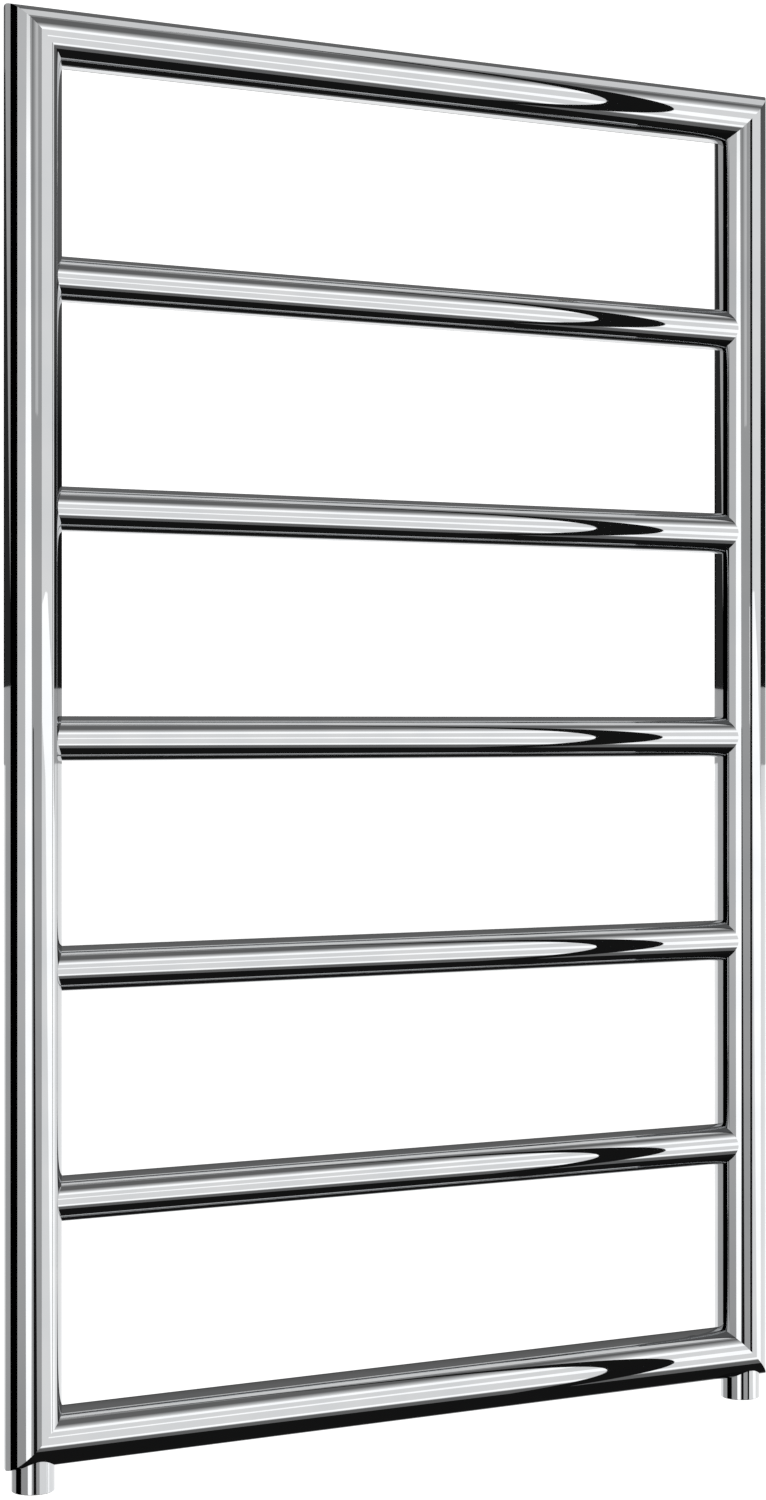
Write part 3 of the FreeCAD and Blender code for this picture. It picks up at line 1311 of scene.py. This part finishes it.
def tent_boards() -> list[Board]:
    """Names the studio's flat boards.

    Returns:
        The boards.
    """
    near_edge, far_edge = Vector((0.2795, -0.268, 0)), Vector((0.336, -0.268, 0))
    up = Vector((0, 0, 1.5))
    lamp_left, lamp_right = Vector((-2.6, -0.15, 2.6)), Vector((2.6, -0.93, 2.6))
    lamp_back = (Vector((2.6, 0.68, 2.6)), Vector((-2.6, 0.68, 2.6)))
    apron = Vector((0, -0.35, 0))
    flag = (near_edge - up, far_edge - up, far_edge + up, near_edge + up)
    hem = (lamp_left + apron, lamp_right + apron, lamp_right, lamp_left)
    return [
        Board("near_flag", flag, Tone.BLACK, Tone.BLACK),
        Board("ceiling_lamp", (lamp_left, lamp_right, *lamp_back), Tone.LAMP, Tone.LAMP),
        Board("lamp_apron", hem, Tone.DUSK, Tone.DUSK),
    ]


@dataclass(frozen=True)
class Studio:
    """The studio: a tent of cards and boards, one soft overhead light, and a pale floor."""

    centre: Vector
    floor_z: float
    # Share of the light that chrome returns, so that a card shows in it with its own tone.
    mirror: float = 0.64
    surround_strength: float = 1.25
    floor_half: float = 40.0
    fibre_mm: float = 300.0
    # How finely a card is divided, so that it curves and fades.
    card_grid: tuple[int, int] = (48, 24)
    lamp_size: float = 2.4
    lamp_power: float = 45.0
    lamp_place: tuple[float, float, float] = (-0.9, -0.8, 2.4)

    def card_material(self) -> Material:
        """Makes the lit-card material.

        Returns:
            An emission whose strength is the mesh's own "brightness".
        """
        material = blank_material("studio_card")
        tree = material.node_tree
        level = add_node(tree, "ShaderNodeAttribute", {"attribute_name": "brightness"})
        strength = level.outputs["Fac"]
        light = {"Color": (1, 1, 1, 1), "Strength": strength}
        glow = add_node(tree, "ShaderNodeEmission", {}, light)
        add_node(tree, "ShaderNodeOutputMaterial", {}, {"Surface": glow.outputs[0]})
        material.cycles.emission_sampling = "NONE"
        return material

    def hang(self, card: Card | Board, material: Material) -> None:
        """Hangs a card or board where only polished surfaces see it.

        Args:
            card: The card or board.
            material: The lit-card material.
        """
        bm = bmesh.new()
        columns, rows = self.card_grid
        bmesh.ops.create_grid(bm, x_segments=columns, y_segments=rows, size=0.5)
        level = bm.verts.layers.float.new("brightness")
        low, high = (linear(tone.value)[0] for tone in (card.lower, card.upper))
        for vert in bm.verts:
            across, up = vert.co.x + 0.5, vert.co.y + 0.5
            vert[level] = (low + (high - low) * up) / self.mirror
            vert.co = self.centre + card.point(across, up)
        made = as_object(bm, f"studio_{card.name}", material)
        made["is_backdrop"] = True
        made.visible_camera = False
        made.visible_diffuse = False
        made.visible_transmission = False
        made.visible_volume_scatter = False
        made.visible_shadow = False

    def build_surround(self) -> None:
        """Sets the white surround: pure to the eye, grey in the chrome."""
        world = bpy.data.worlds.new("studio_surround")
        bpy.context.scene.world = world
        world.use_nodes = True
        tree = world.node_tree
        tree.nodes.clear()
        path = add_node(tree, "ShaderNodeLightPath")
        white = {"Color": (1, 1, 1, 1), "Strength": self.surround_strength}
        seen = add_node(tree, "ShaderNodeBackground", {}, white)
        grey = {"Color": linear(Tone.MID.value), "Strength": 1 / self.mirror}
        mirrored = add_node(tree, "ShaderNodeBackground", {}, grey)
        ways = {0: path.outputs["Is Glossy Ray"], 1: seen.outputs[0], 2: mirrored.outputs[0]}
        mix = add_node(tree, "ShaderNodeMixShader", {}, ways)
        add_node(tree, "ShaderNodeOutputWorld", {}, {"Surface": mix.outputs[0]})

    def build_floor(self) -> None:
        """Lays the pale floor."""
        material = blank_material("pale_paper_floor")
        tree = material.node_tree
        place = add_node(tree, "ShaderNodeTexCoord").outputs["Object"]
        fibre = noise(tree, place, self.fibre_mm)
        finish_surface(
            tree, {"Base Color": tint(tree, fibre, "#F4F4F4", "#F7F7F7"), "Roughness": 0.9}
        )
        bm = bmesh.new()
        at = Matrix.Translation((0, 0, self.floor_z))
        bmesh.ops.create_grid(bm, x_segments=1, y_segments=1, size=self.floor_half, matrix=at)
        floor = as_object(bm, "studio_floor", material)
        floor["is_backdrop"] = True
        floor.visible_glossy = False

    def build_overhead(self) -> None:
        """Hangs the soft overhead light that shapes the matt pieces."""
        light = bpy.data.lights.new("overhead_soft", "AREA")
        light.shape = "DISK"
        light.size = self.lamp_size
        light.energy = self.lamp_power
        made = bpy.data.objects.new("overhead_soft", light)
        made.location = self.centre + Vector(self.lamp_place)
        aim = self.centre - made.location
        made.rotation_euler = aim.to_track_quat("-Z", "Y").to_euler()
        made.visible_glossy = False
        made.visible_camera = False
        bpy.context.scene.collection.objects.link(made)

    def build(self) -> None:
        """Sets up the whole studio."""
        self.build_surround()
        self.build_floor()
        self.build_overhead()
        material = self.card_material()
        for card in [*tent_cards(), *tent_boards()]:
            self.hang(card, material)


@dataclass(frozen=True)
class Viewpoint:
    """Where the camera stands: left of the rack's front, level with its middle."""

    left: float = 0.7830
    front: float = 1.4639
    above: float = 0.0077
    turn_degrees: float = 27.604
    lens_mm: float = 67.95
    sensor_mm: float = 36.0
    shift_y: float = -0.018

    def build(self, target: Vector) -> None:
        """Sets the scene's camera.

        Args:
            target: The middle of the rack's tubes.
        """
        data = bpy.data.cameras.new("studio_camera")
        data.sensor_width = self.sensor_mm
        data.lens = self.lens_mm
        data.shift_y = self.shift_y
        data.clip_start, data.clip_end = 0.05, 200.0
        camera = bpy.data.objects.new("studio_camera", data)
        camera.location = target + Vector((-self.left, -self.front, self.above))
        camera.rotation_euler = (math.radians(90), 0, -math.radians(self.turn_degrees))
        bpy.context.scene.collection.objects.link(camera)
        bpy.context.scene.camera = camera


def main() -> None:
    """Builds the rack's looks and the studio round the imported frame."""
    logging.basicConfig(level=logging.INFO, format="%(name)s: %(message)s")
    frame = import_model()
    cad_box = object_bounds()
    nodes = frame["nodes"]
    rack = Rack.read()
    upright = PolishedChrome("polished_chrome_upright", Axis.UP).build()
    level = PolishedChrome("polished_chrome_level", Axis.ALONG).build()
    plated = TurnedMetal(
        "plated_turned_brass", Axis.BACK, "#CFCDC8", "#B9B4AB", (0.10, 0.24)
    ).build()
    socket_steel = TurnedMetal(
        "chromed_turned_steel", Axis.BACK, "#D0D1D2", "#C2C3C5", (0.05, 0.14), ring_depth_mm=0.002
    ).build()
    brass = TurnedMetal("bare_turned_brass", Axis.BACK, "#D9B56A", "#A8823F", (0.18, 0.38)).build()
    rubber = Moulded("epdm_rubber", "#1A1A1B", "#232324", (0.62, 0.85), 1.52).build()
    plastic = Moulded("acetal_plastic", "#DEDDD7", "#D3D1CA", (0.32, 0.5), 1.48).build()
    made = [
        *FrameLoop(rack, upright, level).build(),
        *Rungs(rack, level).build(sorted(n for n in nodes if n.startswith("rung_"))),
        *Tails(upright).build(),
        *Bosses(socket_steel).build(sorted(n for n in nodes if n.startswith("bracket_boss"))),
        *Sockets(socket_steel, rubber).build(),
        *AirVent(plated, brass, plastic).build(),
        BlankingPlug(plated).build(),
    ]
    for piece in made:
        LOG.info("made %s", piece.name)
    Studio(rack.middle, cad_box[0].z - FLOOR_DROP).build()
    Viewpoint().build(rack.middle)
    bpy.context.scene.view_settings.view_transform = "Standard"


if __name__ == "__main__":
    main()
